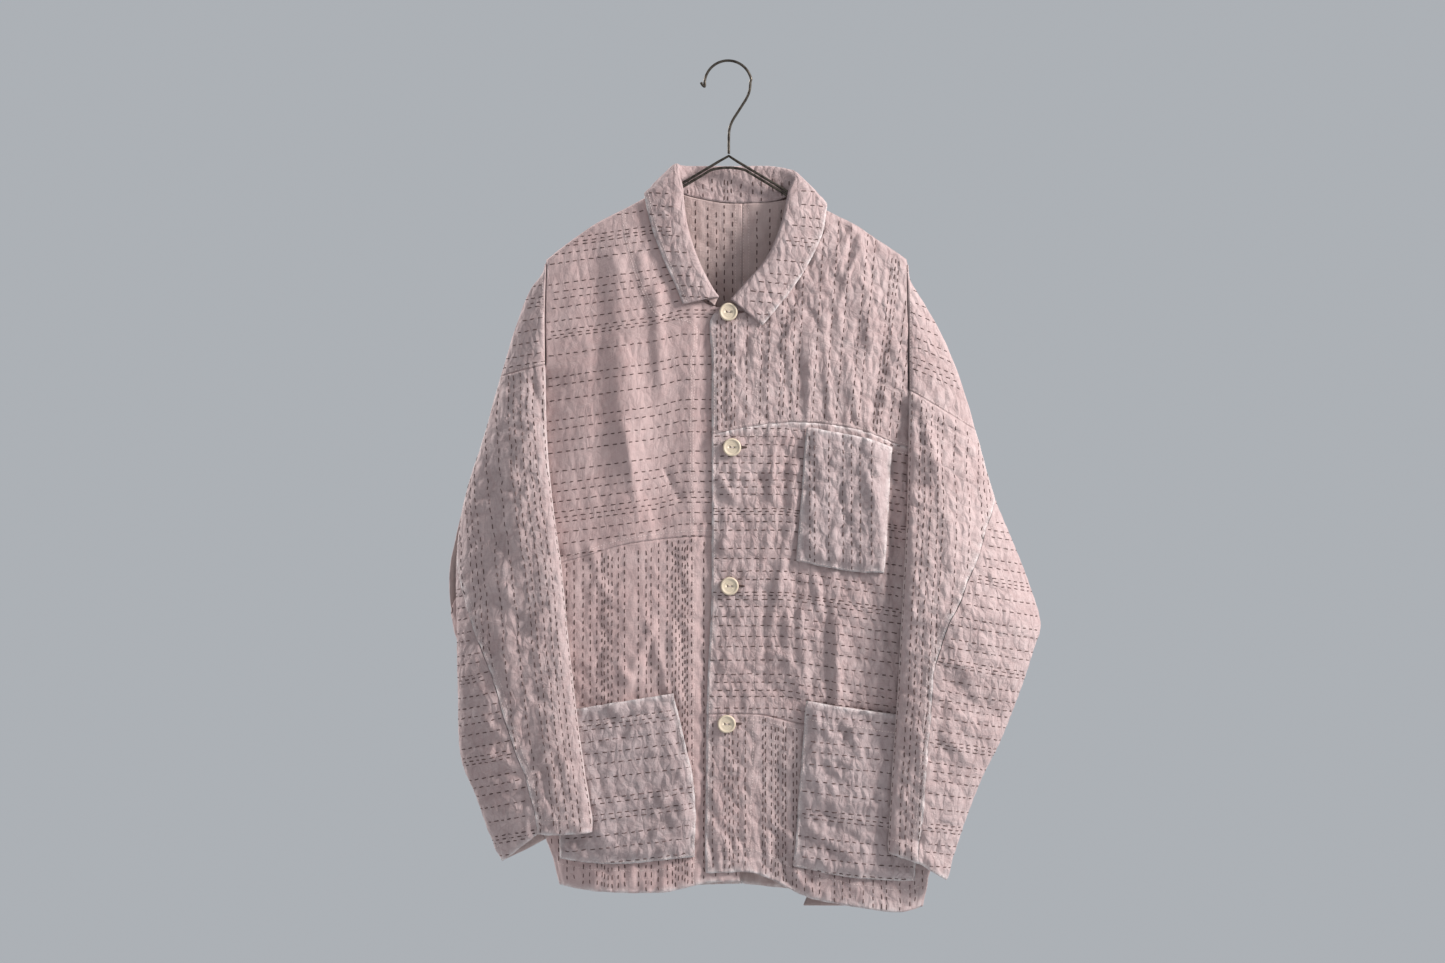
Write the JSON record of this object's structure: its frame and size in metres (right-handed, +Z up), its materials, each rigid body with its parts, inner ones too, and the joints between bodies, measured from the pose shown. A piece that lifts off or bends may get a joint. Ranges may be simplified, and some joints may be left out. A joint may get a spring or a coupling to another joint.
{
  "type": "pieced stitched cotton jacket on a wire hanger",
  "caption": "Oversized collared work jacket pieced from pale cotton panels with dark running stitch, buttoned and hung on a thin wire hanger.",
  "frame": {"origin": "inside top of the hanger's hook, where a rail holds it", "axes": "+Z up, +X towards the wearer's left, -Y is the front of the jacket"},
  "size_m": [0.6189, 0.0786, 0.8918],
  "materials": {
    "stitched_cotton": "garment-dyed crinkled cotton",
    "dark_thread": "matt cotton thread",
    "pale_thread": "matt cotton thread",
    "button_nut": "satin turned nut",
    "steel_wire": "oxidised drawn wire"
  },
  "bodies": {
    "root": {"back_left": "stitched_cotton", "back_right": "stitched_cotton", "right_front_upper": "stitched_cotton", "right_front_lower": "stitched_cotton", "left_front_upper": "stitched_cotton", "left_front_middle": "stitched_cotton", "left_front_lower": "stitched_cotton", "right_sleeve_upper": "stitched_cotton", "right_sleeve_under": "stitched_cotton", "left_sleeve_upper": "stitched_cotton", "left_sleeve_under": "stitched_cotton", "collar": "stitched_cotton", "chest_pocket": "stitched_cotton", "right_pocket": "stitched_cotton", "left_pocket": "stitched_cotton", "button_1": "button_nut", "button_2": "button_nut", "button_3": "button_nut", "button_4": "button_nut", "hanger_hook": "steel_wire", "hanger_loop": "steel_wire"}
  },
  "joints": []
}
